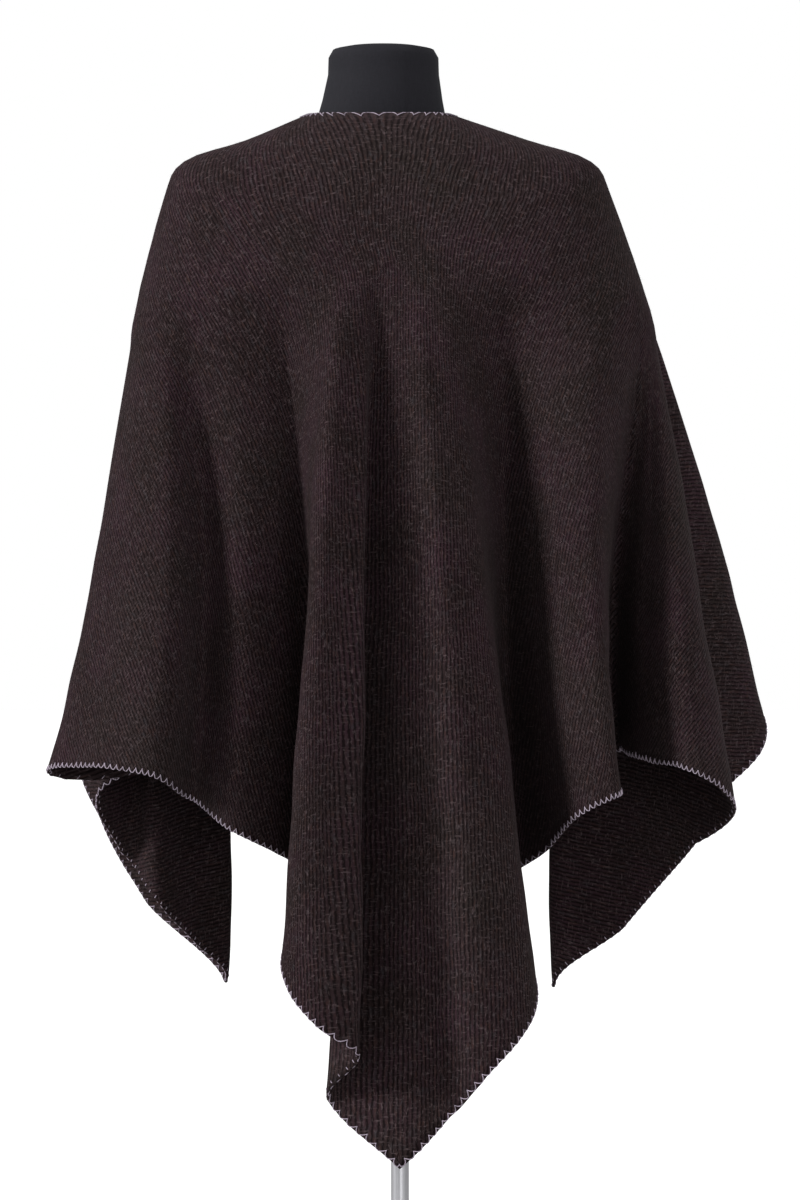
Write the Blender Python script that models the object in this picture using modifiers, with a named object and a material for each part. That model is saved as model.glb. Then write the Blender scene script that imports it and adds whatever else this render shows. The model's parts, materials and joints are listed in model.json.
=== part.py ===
"""A square wool poncho worn on a limbless dress form and its floor stand.

Metres, +Z up, origin on the floor under the pole. The poncho's back corner points to -Y, its
front corner to +Y and its two side corners to +X and -X. The cloth is one square with a neck
hole at its middle. Straight spokes of cloth run from the neck hole to the hem. Each lies on the
shoulders as far as the lowest yoke ring and then hangs straight, at its full cut length, to a
place in plan that the fold tables give.
"""
import math
from collections import namedtuple

import bmesh
import bpy
import numpy as np

# Cut of the cloth
CLOTH_SIDE = 1.500
CLOTH_THICKNESS = 0.0025
HOLE_HALF_WIDTH = 0.0725
HOLE_MIDDLE = -0.0095
HOLE_BACK_DEPTH = 0.023
HOLE_FRONT_DEPTH = 0.170
HOLE_BACK_ROUNDNESS = 2.0
HOLE_FRONT_ROUNDNESS = 1.5
HALF_SIDE = CLOTH_SIDE / 2

# Dress form and stand
FORM_TOP = 1.4965
FORM_BOTTOM = 0.770
POLE_RADIUS = 0.009
SOCKET_FLANGE_RADIUS = 0.045
SOCKET_FLANGE_THICKNESS = 0.005
SOCKET_RADIUS = 0.017
SOCKET_LENGTH = 0.045
BASE_RADIUS = 0.170
BASE_THICKNESS = 0.008
BASE_EDGE = 0.0025
HUB_RADIUS = 0.020
HUB_HEIGHT = 0.045
GAP = 0.0003

# Fineness of the solids
COLUMNS_PER_TURN = 2
YOKE_STEPS = 2
HANG_STEPS = 8
EARLY_SPREAD = 0.12
SHOULDER_DRAW = math.radians(22)
SHOULDER_DRAW_POWER = 1.6
FIRST_SHARE = 0.08
SPOKE_STEPS = 40
FORM_SIDES = 32
ROUND_SIDES = 48

# Rings that the cloth lies on, from the neck edge out to where it starts to hang. Depths run
# from the form's middle to the back and to the front, and middle is where that is across.
YokeRing = namedtuple(
    "YokeRing", "name middle half_width back front z_side z_back z_front roundness")
YOKE_RINGS = (
    YokeRing("neck edge", -0.021, 0.0725, 0.070, 0.116, 1.428, 1.423, 1.312, 2.0),
    YokeRing("mid shoulder", -0.013, 0.142, 0.103, 0.123, 1.402, 1.381, 1.285, 2.1),
    YokeRing("shoulder tip", -0.0125, 0.203, 0.122, 0.129, 1.381, 1.330, 1.256, 2.3),
    YokeRing("below shoulder", -0.012, 0.223, 0.131, 0.135, 1.343, 1.298, 1.222, 2.6),
    YokeRing("upper arm", -0.007, 0.255, 0.138, 0.142, 1.232, 1.262, 1.186, 3.2),
)
NECK_FRONT_POWER = 0.9

# Places where the hem turns, a table for each side of the square. run is the distance along
# that side from its first corner, x and y are the place in plan.
HemTurn = namedtuple("HemTurn", "name run x y")
BACK_CORNER_TO_RIGHT = (
    HemTurn("back corner", 0.000, 0.000, -0.205),
    HemTurn("drape crest", 0.068, 0.050, -0.252),
    HemTurn("drape face", 0.112, 0.076, -0.256),
    HemTurn("drape right face", 0.178, 0.116, -0.242),
    HemTurn("drape right edge", 0.234, 0.130, -0.208),
    HemTurn("drape right return", 0.325, 0.119, -0.130),
    HemTurn("first valley", 0.430, 0.108, -0.066),
    HemTurn("first valley far side", 0.470, 0.121, -0.056),
    HemTurn("first ridge flank", 0.515, 0.147, -0.125),
    HemTurn("first ridge crest", 0.600, 0.172, -0.205),
    HemTurn("first ridge edge", 0.680, 0.207, -0.222),
    HemTurn("first ridge return", 0.760, 0.208, -0.150),
    HemTurn("second valley", 0.830, 0.205, -0.058),
    HemTurn("second valley far side", 0.845, 0.218, -0.052),
    HemTurn("second ridge flank", 0.930, 0.233, -0.125),
    HemTurn("second ridge crest", 1.035, 0.270, -0.198),
    HemTurn("second ridge face", 1.120, 0.310, -0.180),
    HemTurn("second ridge edge", 1.178, 0.322, -0.120),
    HemTurn("side valley mouth", 1.240, 0.290, -0.055),
    HemTurn("side valley wall", 1.390, 0.222, 0.000),
)
RIGHT_CORNER_TO_FRONT = (
    HemTurn("right corner", 0.000, 0.155, 0.050),
    HemTurn("side valley wall", 0.120, 0.215, 0.105),
    HemTurn("side valley mouth", 0.240, 0.300, 0.160),
    HemTurn("third ridge edge", 0.350, 0.384, 0.205),
    HemTurn("third ridge face", 0.455, 0.365, 0.275),
    HemTurn("third ridge return", 0.560, 0.300, 0.250),
    HemTurn("third valley", 0.650, 0.268, 0.168),
    HemTurn("third valley far side", 0.670, 0.254, 0.172),
    HemTurn("fourth ridge flank", 0.760, 0.235, 0.235),
    HemTurn("fourth ridge crest", 0.860, 0.200, 0.300),
    HemTurn("fourth ridge return", 0.950, 0.155, 0.245),
    HemTurn("fourth valley", 1.030, 0.134, 0.168),
    HemTurn("fourth valley far side", 1.045, 0.121, 0.166),
    HemTurn("front drape return", 1.120, 0.112, 0.230),
    HemTurn("front drape right edge", 1.200, 0.100, 0.285),
    HemTurn("front drape face", 1.340, 0.045, 0.290),
)
FRONT_CORNER_TO_LEFT = (
    HemTurn("front corner", 0.000, 0.005, 0.220),
    HemTurn("front drape dip", 0.110, -0.040, 0.205),
    HemTurn("front drape left ridge", 0.220, -0.070, 0.285),
    HemTurn("front drape left edge", 0.300, -0.105, 0.270),
    HemTurn("front drape left return", 0.370, -0.098, 0.195),
    HemTurn("fifth valley", 0.445, -0.099, 0.130),
    HemTurn("fifth valley far side", 0.460, -0.114, 0.125),
    HemTurn("fifth ridge flank", 0.570, -0.172, 0.215),
    HemTurn("fifth ridge crest", 0.670, -0.205, 0.300),
    HemTurn("fifth ridge return", 0.770, -0.235, 0.252),
    HemTurn("sixth valley", 0.850, -0.240, 0.192),
    HemTurn("sixth valley far side", 0.868, -0.254, 0.188),
    HemTurn("sixth ridge flank", 0.950, -0.282, 0.240),
    HemTurn("sixth ridge crest", 1.050, -0.322, 0.282),
    HemTurn("sixth ridge edge", 1.155, -0.342, 0.235),
    HemTurn("side valley mouth", 1.252, -0.314, 0.180),
    HemTurn("side valley wall", 1.392, -0.262, 0.155),
)
LEFT_CORNER_TO_BACK = (
    HemTurn("left corner", 0.000, -0.178, 0.080),
    HemTurn("inner pleat face", 0.075, -0.207, 0.048),
    HemTurn("inner pleat edge", 0.150, -0.240, 0.000),
    HemTurn("inner pleat return", 0.203, -0.262, 0.018),
    HemTurn("inner pleat bottom", 0.238, -0.279, 0.012),
    HemTurn("side valley mouth", 0.335, -0.298, -0.040),
    HemTurn("left tuck", 0.425, -0.229, -0.053),
    HemTurn("left tuck far side", 0.440, -0.227, -0.067),
    HemTurn("left ridge edge", 0.495, -0.341, -0.092),
    HemTurn("left band", 0.640, -0.295, -0.150),
    HemTurn("left band crest", 0.745, -0.234, -0.176),
    HemTurn("seventh valley", 0.820, -0.202, -0.100),
    HemTurn("left panel swell", 0.910, -0.165, -0.145),
    HemTurn("left panel", 0.985, -0.119, -0.122),
    HemTurn("eighth valley", 1.035, -0.094, -0.092),
    HemTurn("eighth valley far side", 1.050, -0.082, -0.098),
    HemTurn("drape left return", 1.120, -0.094, -0.165),
    HemTurn("drape left edge", 1.205, -0.112, -0.235),
    HemTurn("drape left corner", 1.262, -0.102, -0.254),
    HemTurn("pleat face", 1.310, -0.075, -0.264),
    HemTurn("pleat edge", 1.350, -0.039, -0.250),
    HemTurn("pleat underfold", 1.412, -0.068, -0.185),
)
# Places where the hanging cloth stands out part of the way down, each over a reach of the hem.
# run is the distance round the whole hem from the back corner, height the share of the hanging
# length where it stands out most.
Swell = namedtuple("Swell", "name run reach x y height")
SWELLS = (
    Swell("right valley", 1.500, 0.130, -0.027, 0.000, 0.55),
    Swell("right side", 1.800, 0.320, 0.007, 0.005, 0.40),
    Swell("left valley", 4.500, 0.130, 0.028, 0.000, 0.55),
    Swell("left side", 4.960, 0.360, 0.011, 0.002, 0.45),
)
HEM_SIDES = (BACK_CORNER_TO_RIGHT, RIGHT_CORNER_TO_FRONT, FRONT_CORNER_TO_LEFT, LEFT_CORNER_TO_BACK)

# Horizontal sections of the dress form, from its flat underside to its neck top
FormSection = namedtuple("FormSection", "name z middle half_width back front")
FORM_SECTIONS = (
    FormSection("underside", FORM_BOTTOM, 0.000, 0.116, 0.060, 0.070),
    FormSection("underside edge", 0.776, 0.000, 0.124, 0.066, 0.076),
    FormSection("hip", 0.860, -0.002, 0.130, 0.070, 0.082),
    FormSection("upper hip", 0.940, -0.004, 0.124, 0.070, 0.082),
    FormSection("waist", 1.020, -0.006, 0.112, 0.066, 0.076),
    FormSection("lower rib", 1.110, -0.008, 0.124, 0.074, 0.086),
    FormSection("chest", 1.200, -0.010, 0.146, 0.090, 0.102),
    FormSection("upper chest", 1.280, -0.012, 0.170, 0.104, 0.098),
    FormSection("shoulder blade", 1.330, -0.0125, 0.184, 0.098, 0.084),
    FormSection("shoulder tip", 1.357, -0.0125, 0.186, 0.084, 0.072),
    FormSection("shoulder", 1.372, -0.0125, 0.168, 0.072, 0.060),
    FormSection("mid shoulder", 1.387, -0.014, 0.126, 0.065, 0.050),
    FormSection("neck root", 1.403, -0.017, 0.086, 0.060, 0.044),
    FormSection("neck base", 1.426, -0.0185, 0.0645, 0.058, 0.054),
    FormSection("low neck", 1.445, -0.0175, 0.060, 0.057, 0.055),
    FormSection("mid neck", 1.470, -0.0165, 0.0555, 0.054, 0.054),
    FormSection("neck rim", 1.487, -0.0165, 0.055, 0.053, 0.053),
    FormSection("neck top edge", 1.494, -0.0165, 0.051, 0.049, 0.049),
    FormSection("neck top", FORM_TOP, -0.0165, 0.040, 0.038, 0.038),
)
FORM_ROUNDNESS = 2.1

# Plain colours of the materials: colour, roughness, metallic
Finish = namedtuple("Finish", "name colour roughness metallic")
WOOL = Finish("brown_wool", (0.028, 0.019, 0.018), 0.95, 0.0)
JERSEY = Finish("black_jersey", (0.016, 0.016, 0.020), 0.85, 0.0)
STEEL = Finish("brushed_steel", (0.42, 0.42, 0.44), 0.35, 1.0)
PAINT = Finish("black_paint", (0.025, 0.025, 0.027), 0.5, 0.0)


def catmull_rom(before, start, end, after, share):
    """The point a share of the way from start to end on the smooth curve through all four."""
    along = (end - before) * share
    bend = (2 * before - 5 * start + 4 * end - after) * share**2
    twist = (3 * start - before - 3 * end + after) * share**3
    return start + 0.5 * (along + bend + twist)


def open_curve(points, steps):
    """Points of the smooth open curve through all of points, each a row of places."""
    first = 2 * points[0] - points[1]
    last = 2 * points[-1] - points[-2]
    full = [first, *points, last]
    curve = []
    for index in range(len(points) - 1):
        curve.extend(catmull_rom(*full[index:index + 4], step / steps) for step in range(steps))
    return np.array([*curve, points[-1]])


def oval_radius(angle, half_width, back, front, roundness):
    """Radius of an oval at an angle from the back (-Y) round by the right (+X)."""
    depth = np.where(np.cos(angle) > 0, back, front)
    across = (np.abs(np.sin(angle)) / half_width) ** roundness
    along = (np.abs(np.cos(angle)) / depth) ** roundness
    return (across + along) ** (-1 / roundness)


def hem_turns():
    """Every hem turn's run round the whole hem, which is 0 at the back corner, and its place."""
    runs = []
    places = []
    for side, turns in enumerate(HEM_SIDES):
        for turn in turns:
            runs.append(side * CLOTH_SIDE + turn.run)
            places.append((turn.x, turn.y))
    return np.array(runs), np.array(places)


def hem_place(run):
    """Place in plan on the smooth curve through every hem turn, at runs round the hem."""
    runs, places = hem_turns()
    stretches = np.diff(np.append(runs, 4 * CLOTH_SIDE))
    run = run % (4 * CLOTH_SIDE)
    index = np.searchsorted(runs, run, side="right") - 1
    share = ((run - runs[index]) / stretches[index])[:, None]
    around = [places[(index + offset) % len(places)] for offset in (-1, 0, 1, 2)]
    return catmull_rom(*around, share)


def flat_hem(run):
    """Place on the cut square's edge at a run round it, with the back corner at -Y."""
    side = np.floor(run / CLOTH_SIDE).astype(int) % 4
    across = run % CLOTH_SIDE - HALF_SIDE
    turned = math.pi / 4 + side * math.pi / 2
    x = HALF_SIDE * np.sin(turned) + across * np.cos(turned)
    y = across * np.sin(turned) - HALF_SIDE * np.cos(turned)
    return np.stack([x, y], axis=1)


def run_at(angle):
    """Run round the hem of the spoke that leaves the middle of the cut square at an angle."""
    angle = angle % (2 * math.pi)
    side = np.floor(angle / (math.pi / 2))
    across = HALF_SIDE * np.tan(angle - math.pi / 4 - side * math.pi / 2)
    return side * CLOTH_SIDE + HALF_SIDE + across


def shoulder_draw(share):
    """How strongly folds are drawn towards the shoulders at a share of the hanging length."""
    return SHOULDER_DRAW * (1 - share) ** SHOULDER_DRAW_POWER


def cloth_angle(fold, draw):
    """Angle in the cut cloth of the spoke that meets a fold where it is drawn this strongly."""
    return fold + draw * np.sin(2 * fold)


def fold_angle(angle, draw):
    """The fold that a spoke of the cloth meets: cloth_angle turned round by Newton's method."""
    found = angle
    for _ in range(25):
        missed = cloth_angle(found, draw) - angle
        found = found - missed / (1 + 2 * draw * np.cos(2 * found))
    return found


def hole_roundness(angle):
    """The neck hole is a shallow curve behind and a soft V in front."""
    return np.where(np.cos(angle) > 0, HOLE_BACK_ROUNDNESS, HOLE_FRONT_ROUNDNESS)


def flat_hole(angle):
    """Place on the neck hole's edge in the cut square at angles from the back."""
    radius = oval_radius(
        angle, HOLE_HALF_WIDTH, HOLE_BACK_DEPTH, HOLE_FRONT_DEPTH, hole_roundness(angle))
    return np.stack([radius * np.sin(angle) + HOLE_MIDDLE, -radius * np.cos(angle)], axis=1)


def neck_slope(ring, angle):
    """Power of the rise from the middle to the side, which is less in front of the neck."""
    return np.where((np.cos(angle) < 0) & (ring is YOKE_RINGS[0]), NECK_FRONT_POWER, 2.0)


def yoke_ring(ring, angle):
    """Places on one yoke ring at angles from the back."""
    roundness = hole_roundness(angle) if ring is YOKE_RINGS[0] else ring.roundness
    radius = oval_radius(angle, ring.half_width, ring.back, ring.front, roundness)
    x = radius * np.sin(angle)
    y = -radius * np.cos(angle)
    sideways = (np.abs(x) / ring.half_width) ** neck_slope(ring, angle)
    z_middle = np.where(np.cos(angle) > 0, ring.z_back, ring.z_front)
    z = z_middle + (ring.z_side - z_middle) * sideways
    return np.stack([x + ring.middle, y, z], axis=1)


def swell_places(runs, share):
    """How far each spoke stands out in plan at a share of its hanging length."""
    out = np.zeros((len(runs), 2))
    for swell in SWELLS:
        apart = np.clip(np.abs(runs - swell.run) / swell.reach, 0, 1)
        early = share ** (math.log(0.5) / math.log(swell.height))
        out += np.outer(np.cos(apart * math.pi / 2) ** 2, (swell.x, swell.y)) * 4 * early * (1 - early)
    return out


def hanging_places(angle, share):
    """Places in plan of spokes of the cloth at a share of their hanging length.

    Folds grow a little faster near their top, and then hang steep.
    """
    fold = fold_angle(angle, shoulder_draw(share))
    lowest = YOKE_RINGS[-1]
    sideways = hem_place(run_at(fold)) - yoke_ring(lowest, fold)[:, :2]
    grown = share * (1 + EARLY_SPREAD * (1 - share))
    return yoke_ring(lowest, angle)[:, :2] + sideways * grown + swell_places(run_at(fold), share)


def hanging_length(angle):
    """Length that is left of each spoke of the cut cloth below the yoke."""
    rings = np.array([yoke_ring(ring, angle) for ring in YOKE_RINGS])
    on_yoke = np.linalg.norm(np.diff(rings, axis=0), axis=2).sum(axis=0)
    return np.linalg.norm(flat_hem(run_at(angle)) - flat_hole(angle), axis=1) - on_yoke


def hanging_row(angle, share):
    """Points on spokes of the cloth at a share of their hanging length, which none stretches."""
    z = yoke_ring(YOKE_RINGS[-1], angle)[:, 2]
    step = hanging_length(angle) * share / SPOKE_STEPS
    places = hanging_places(angle, 0.0)
    for number in range(1, SPOKE_STEPS + 1):
        before = places
        places = hanging_places(angle, share * number / SPOKE_STEPS)
        z = z - np.sqrt(step**2 - ((places - before) ** 2).sum(axis=1))
    return np.column_stack([places, z])


def cloth_rows(columns_per_turn, yoke_steps, hang_steps):
    """The cloth's middle surface, row by row from the neck edge to the hem.

    Each column runs down one fold line. It starts nearer a shoulder than it ends.
    """
    runs = hem_turns()[0]
    stretches = np.diff(np.append(runs, 4 * CLOTH_SIDE))
    within = np.arange(columns_per_turn) / columns_per_turn
    hem_cut = flat_hem((runs[:, None] + stretches[:, None] * within).ravel())
    fold = np.arctan2(hem_cut[:, 0], -hem_cut[:, 1])
    last = len(YOKE_RINGS) - 1
    rings = [yoke_ring(ring, cloth_angle(fold, SHOULDER_DRAW * number / last))
             for number, ring in enumerate(YOKE_RINGS)]
    hang = [hanging_row(cloth_angle(fold, shoulder_draw(share)), share)
            for share in np.linspace(FIRST_SHARE, 1, hang_steps + 1)]
    yoke = open_curve(np.array([*rings, hang[0]]), yoke_steps)
    return np.array([*yoke, *hang[1:]])


def row_normals(rows):
    """Outward unit normals of a grid of rows that close on themselves."""
    round_it = np.roll(rows, -1, axis=1) - np.roll(rows, 1, axis=1)
    down_it = np.gradient(rows, axis=0)
    normals = np.cross(down_it, round_it)
    return normals / np.linalg.norm(normals, axis=2, keepdims=True)


def add_mesh(name, points, faces, finish):
    """A mesh object with its own material, shaded smooth."""
    mesh = bpy.data.meshes.new(name)
    mesh.from_pydata([tuple(point) for point in points], [], faces)
    mesh.update()
    built = bmesh.new()
    built.from_mesh(mesh)
    bmesh.ops.recalc_face_normals(built, faces=built.faces)
    built.to_mesh(mesh)
    built.free()
    obj = bpy.data.objects.new(name, mesh)
    parts_collection().objects.link(obj)
    finish_object(obj, finish)
    return obj


def parts_collection():
    """The collection that holds every solid of the object."""
    found = bpy.data.collections.get("poncho_on_form")
    if found is None:
        found = bpy.data.collections.new("poncho_on_form")
        bpy.context.scene.collection.children.link(found)
    return found


def finish_object(obj, finish):
    """Gives an object its plain material and smooth shading."""
    material = bpy.data.materials.new(finish.name + "_" + obj.name)
    material.use_nodes = True
    shader = material.node_tree.nodes["Principled BSDF"]
    shader.inputs["Base Color"].default_value = (*finish.colour, 1.0)
    shader.inputs["Roughness"].default_value = finish.roughness
    shader.inputs["Metallic"].default_value = finish.metallic
    obj.data.materials.clear()
    obj.data.materials.append(material)
    obj.data.shade_smooth()
    obj.data.set_sharp_from_angle(angle=math.radians(40))


def grid_faces(first, second, count):
    """Quads between two closed rows of count points that start at these point numbers."""
    faces = []
    for column in range(count):
        beside = (column + 1) % count
        faces.append((first + column, first + beside, second + beside, second + column))
    return faces


def cloth_faces(rows):
    """Triangles of one layer of the cloth, each quad split along its shorter diagonal."""
    row_count, count = rows.shape[:2]
    faces = []
    for row in range(row_count - 1):
        for near, beside, below, under in grid_faces(row * count, (row + 1) * count, count):
            column, next_column = near % count, beside % count
            falling = np.linalg.norm(rows[row, column] - rows[row + 1, next_column])
            rising = np.linalg.norm(rows[row, next_column] - rows[row + 1, column])
            if falling < rising:
                faces.extend([(near, beside, below), (near, below, under)])
            else:
                faces.extend([(near, beside, under), (beside, below, under)])
    return faces


def poncho_cloth():
    """The whole square of cloth as one closed wall."""
    rows = cloth_rows(COLUMNS_PER_TURN, YOKE_STEPS, HANG_STEPS)
    offset = row_normals(rows) * CLOTH_THICKNESS / 2
    points = np.concatenate([rows + offset, rows - offset]).reshape(-1, 3)
    row_count, count = rows.shape[:2]
    inner = row_count * count
    last = inner - count
    outside = cloth_faces(rows)
    inside = [tuple(corner + inner for corner in reversed(face)) for face in outside]
    neck_edge = [face[::-1] for face in grid_faces(0, inner, count)]
    hem_edge = grid_faces(last, inner + last, count)
    return add_mesh("poncho_cloth", points, outside + inside + neck_edge + hem_edge, WOOL)


def dress_form():
    """The torso and neck as one smooth closed body with a flat underside."""
    angle = np.linspace(0, 2 * math.pi, FORM_SIDES, endpoint=False)
    rings = []
    for section in FORM_SECTIONS:
        radius = oval_radius(
            angle, section.half_width, section.back, section.front, FORM_ROUNDNESS)
        x = radius * np.sin(angle) + section.middle
        y = -radius * np.cos(angle)
        rings.append(np.stack([x, y, np.full(FORM_SIDES, section.z)], axis=1))
    points = np.concatenate(rings)
    faces = [tuple(range(FORM_SIDES)), tuple(range(len(points) - FORM_SIDES, len(points)))]
    for ring in range(len(rings) - 1):
        faces.extend(grid_faces(ring * FORM_SIDES, (ring + 1) * FORM_SIDES, FORM_SIDES))
    return add_mesh("dress_form", points, faces, JERSEY)


def turned(name, profile, finish):
    """A body turned round the pole's axis from a closed profile of radius and height."""
    mesh = bpy.data.meshes.new(name)
    edges = [(index, (index + 1) % len(profile)) for index in range(len(profile))]
    mesh.from_pydata([(radius, 0, z) for radius, z in profile], edges, [])
    obj = bpy.data.objects.new(name, mesh)
    parts_collection().objects.link(obj)
    screw = obj.modifiers.new("turn", "SCREW")
    screw.steps = ROUND_SIDES
    screw.render_steps = ROUND_SIDES
    screw.use_merge_vertices = True
    screw.merge_threshold = 0.0001
    finish_object(obj, finish)
    return obj


def pole():
    """The steel pole, from the base plate up into the socket."""
    bottom = BASE_THICKNESS + GAP
    top = FORM_BOTTOM - SOCKET_FLANGE_THICKNESS - 2 * GAP
    bpy.ops.mesh.primitive_cylinder_add(
        vertices=ROUND_SIDES // 2, radius=POLE_RADIUS, depth=top - bottom,
        location=(0, 0, (top + bottom) / 2))
    return placed_primitive("stand_pole", STEEL)


def placed_primitive(name, finish):
    """Names and finishes the primitive that was just added, and moves it to the collection."""
    obj = bpy.context.object
    obj.name = name
    obj.data.name = name
    for collection in list(obj.users_collection):
        collection.objects.unlink(obj)
    parts_collection().objects.link(obj)
    finish_object(obj, finish)
    return obj


def base_plate():
    """The round steel plate that the stand rests on."""
    bpy.ops.mesh.primitive_cylinder_add(
        vertices=ROUND_SIDES, radius=BASE_RADIUS, depth=BASE_THICKNESS,
        location=(0, 0, BASE_THICKNESS / 2))
    plate = placed_primitive("base_plate", PAINT)
    bevel = plate.modifiers.new("edge", "BEVEL")
    bevel.width = BASE_EDGE
    bevel.segments = 2
    bevel.limit_method = "ANGLE"
    return plate


def form_socket():
    """The flange and sleeve under the form that hold the pole's top."""
    top = FORM_BOTTOM - GAP
    under = top - SOCKET_FLANGE_THICKNESS
    bottom = under - SOCKET_LENGTH
    bore = POLE_RADIUS + GAP
    return turned("form_socket", [
        (0.0, top), (SOCKET_FLANGE_RADIUS, top), (SOCKET_FLANGE_RADIUS, under),
        (SOCKET_RADIUS, under), (SOCKET_RADIUS, bottom), (bore, bottom), (bore, under), (0.0, under),
    ], STEEL)


def base_hub():
    """The sleeve on the base plate that holds the pole's foot."""
    bottom = BASE_THICKNESS + GAP
    top = bottom + HUB_HEIGHT
    bore = POLE_RADIUS + GAP
    return turned("base_hub", [
        (bore, top), (HUB_RADIUS, top), (HUB_RADIUS, bottom), (bore, bottom),
    ], STEEL)


def clear_scene():
    """Removes whatever the scene held."""
    for obj in list(bpy.data.objects):
        bpy.data.objects.remove(obj)


def main():
    """Builds every solid."""
    clear_scene()
    poncho_cloth()
    dress_form()
    form_socket()
    pole()
    base_hub()
    base_plate()


main()
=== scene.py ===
"""Dresses a square wool poncho on its dress form and floor stand, and sets up the studio.

Metres, +Z up, origin on the floor under the pole. The poncho's back corner points to -Y, which
is the side that the camera sees. The cloth is one square with a neck hole at its middle. Straight
spokes of cloth run from the hole to the hem, lie on the shoulders as far as the lowest yoke ring,
and then hang at their full cut length to a place in plan that the hem tables give. Every face of
the cloth is mapped to its place in the flat cut, in metres, so the twill runs as it was woven.
"""
import json
import math
import random
from collections import namedtuple

import bpy
import numpy as np
from bpy.props import FloatProperty, FloatVectorProperty, IntProperty, PointerProperty
from bpy.types import Operator, Panel, PropertyGroup
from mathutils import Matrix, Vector, noise
from mathutils.bvhtree import BVHTree
from mathutils.interpolate import poly_3d_calc

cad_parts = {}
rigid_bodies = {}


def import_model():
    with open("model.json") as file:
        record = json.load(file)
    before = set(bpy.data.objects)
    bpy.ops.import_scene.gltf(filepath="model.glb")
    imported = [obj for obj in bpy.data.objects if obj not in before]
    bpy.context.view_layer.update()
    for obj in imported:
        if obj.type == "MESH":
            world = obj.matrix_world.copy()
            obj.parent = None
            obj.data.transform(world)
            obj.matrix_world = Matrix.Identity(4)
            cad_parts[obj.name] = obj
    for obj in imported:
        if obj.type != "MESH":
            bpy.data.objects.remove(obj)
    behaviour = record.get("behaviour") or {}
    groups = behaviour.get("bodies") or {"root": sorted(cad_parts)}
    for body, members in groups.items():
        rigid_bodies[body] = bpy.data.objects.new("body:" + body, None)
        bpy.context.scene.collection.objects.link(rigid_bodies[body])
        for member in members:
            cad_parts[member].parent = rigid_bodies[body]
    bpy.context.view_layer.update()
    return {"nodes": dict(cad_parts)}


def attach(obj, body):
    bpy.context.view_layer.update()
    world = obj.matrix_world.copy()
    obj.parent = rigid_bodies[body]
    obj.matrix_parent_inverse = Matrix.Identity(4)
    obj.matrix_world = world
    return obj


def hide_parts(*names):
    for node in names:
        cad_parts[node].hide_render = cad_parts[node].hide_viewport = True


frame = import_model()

bl_info = {
    "name": "Square poncho on a dress form",
    "version": (1, 0, 0),
    "blender": (4, 5, 0),
    "location": "3D View > Sidebar > Poncho",
    "description": "Builds a draped wool poncho with sewn edges, its dress form, stand and studio",
    "category": "Add Mesh",
}

# Cut of the cloth
CLOTH_SIDE = 1.500
CLOTH_THICKNESS = 0.0025
HOLE_HALF_WIDTH = 0.0725
HOLE_MIDDLE = -0.0095
HOLE_BACK_DEPTH = 0.023
HOLE_FRONT_DEPTH = 0.170
HOLE_BACK_ROUNDNESS = 2.0
HOLE_FRONT_ROUNDNESS = 1.5
HALF_SIDE = CLOTH_SIDE / 2
HALF_HEM = 2 * CLOTH_SIDE

# How folds grow down the hanging cloth. EARLY_SPREAD is how much sooner they do so across and in
# depth, LEAST_FALL the least share of each step of a spoke that goes down, and SHOULDER_DRAW how
# much nearer the shoulders a fold starts than it ends.
EARLY_SPREAD = np.array((0.12, 0.34))
LEAST_FALL = 0.3
SHOULDER_DRAW = math.radians(22)
SHOULDER_DRAW_POWER = 1.6
FIRST_SHARE = 0.08
SPOKE_STEPS = 40
COLUMNS_AT_A_TURN = 4

# Shallow creases: the height where they start, over how much height they reach full depth, how
# many there are to a metre, and how deep the narrow ones are beside the wide
CREASE_TOP = 1.20
CREASE_REACH = 0.25
WIDE_CREASES = 7.0
NARROW_CREASES = 19.0
NARROW_SHARE = 0.45

# Sewn edges. Each row of STITCH_PATH is a point on the loop of one stitch: how deep it lies in
# bites, and its height off the cloth's middle in lifts. A lift is half the cloth and STITCH_LIFT
# radii of yarn, and STITCH_YARN is a stitch's thickness beside the edge yarn's. EDGE_NEARNESS is
# the least depth that is looked up on the cloth, and EDGE_REACH how far in its slope is taken.
EDGE_NEARNESS = 0.0004
EDGE_REACH = 0.0020
NECK_SAMPLES = 720
YARN_SIDES = 5
EDGE_YARN_STEPS = 8
SCALLOP_POWER = 2.4
STITCH_PATH = (
    (0.80, 1.0), (0.98, 1.05), (1.02, 0.4), (0.85, -0.6), (0.72, -1.0), (0.48, -1.05),
    (0.26, -1.0), (0.22, -0.4), (0.50, 0.0), (0.72, 0.5),
)
STITCH_LIFT = 0.6
STITCH_YARN = 0.92
BITE_SPREAD = (0.80, 1.20)
SLACK_SPREAD = (0.5, 1.5)

# Loose fibres: how far they bend aside, how steeply they rise, their lengths beside the middle
# one, and how far they keep from the edges
HAIR_SEED = 11
HAIR_BEND = 0.5
HAIR_LIFT = (0.05, 0.75)
HAIR_LENGTHS = (0.5, 1.3)
EDGE_CLEARANCE = 0.004

# Far lamps: where each stands, and how wide it spreads in degrees. All shine at LIT_PLACE.
LAMPS = (
    ("key", (-3.8, -1.3, 2.8), 16),
    ("top", (1.3, -1.0, 4.0), 40),
    ("fill", (1.2, -4.0, 1.3), 40),
)
LIT_PLACE = (0.0, 0.0, 0.95)

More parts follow.
